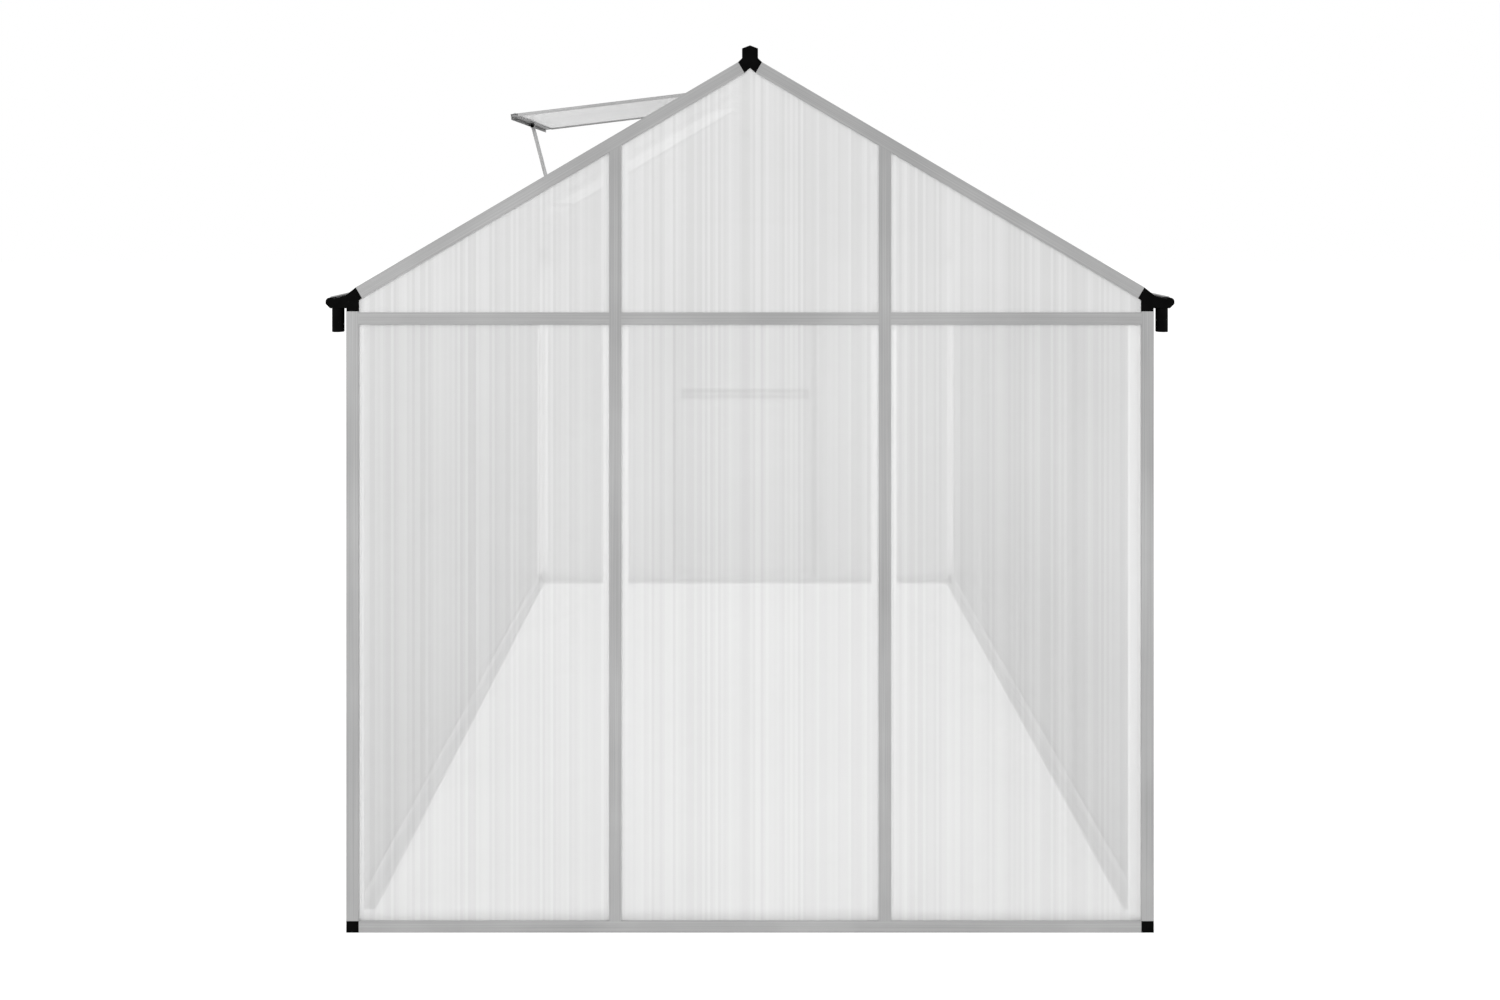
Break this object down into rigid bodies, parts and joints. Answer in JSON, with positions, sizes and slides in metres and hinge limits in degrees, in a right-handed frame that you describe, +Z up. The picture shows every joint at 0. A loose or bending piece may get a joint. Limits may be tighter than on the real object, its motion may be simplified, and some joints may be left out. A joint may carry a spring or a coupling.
{
  "type": "polycarbonate greenhouse",
  "caption": "Walk-in garden greenhouse: aluminium bars holding clear twin-wall sheets, gutters with black end connectors, a sliding door and a roof vent propped open.",
  "frame": {"origin": "on the ground under the middle of the overall box, gutters and door handle included", "axes": "+Z up, +X to the right seen from the rear gable that has no door, +Y from the rear gable towards the gable with the sliding door"},
  "size_m": [1.914, 2.566, 2],
  "materials": {
    "mill_aluminium": "extruded, mill finish",
    "twin_wall_sheet": "translucent twin-wall sheet with fine ribs",
    "black_moulding": "moulded, fine grain",
    "zinc_steel": "zinc plated"
  },
  "bodies": {
    "root": {"base_corners": "black_moulding", "corner_posts": "mill_aluminium", "door_guide": "mill_aluminium", "door_handle": "black_moulding", "door_header": "mill_aluminium", "door_jambs": "mill_aluminium", "door_rails": "mill_aluminium", "door_rollers": "black_moulding", "door_sheets": "twin_wall_sheet", "door_stiles": "mill_aluminium", "door_track": "mill_aluminium", "eaves_connectors": "black_moulding", "front_base_rail": "mill_aluminium", "front_lower_sheets": "twin_wall_sheet", "front_rafters": "mill_aluminium", "front_transoms": "mill_aluminium", "front_upper_sheets": "twin_wall_sheet", "gutter_spouts": "black_moulding", "left_base_rail": "mill_aluminium", "left_eaves_gutter": "mill_aluminium", "left_roof_bars": "mill_aluminium", "left_roof_sheets": "twin_wall_sheet", "left_studs": "mill_aluminium", "left_wall_sheets": "twin_wall_sheet", "rear_base_rail": "mill_aluminium", "rear_lower_sheets": "twin_wall_sheet", "rear_mullions": "mill_aluminium", "rear_rafters": "mill_aluminium", "rear_transoms": "mill_aluminium", "rear_upper_sheets": "twin_wall_sheet", "ridge_beam": "mill_aluminium", "ridge_connectors": "black_moulding", "right_base_rail": "mill_aluminium", "right_eaves_gutter": "mill_aluminium", "right_roof_bars": "mill_aluminium", "right_roof_sheets": "twin_wall_sheet", "right_studs": "mill_aluminium", "right_wall_sheets": "twin_wall_sheet", "stay_brackets": "zinc_steel", "vent_edge_bar": "mill_aluminium", "vent_hinge_bar": "mill_aluminium", "vent_sheet": "twin_wall_sheet", "vent_side_bars": "mill_aluminium", "vent_sill": "mill_aluminium", "vent_stay": "mill_aluminium"}
  },
  "joints": []
}
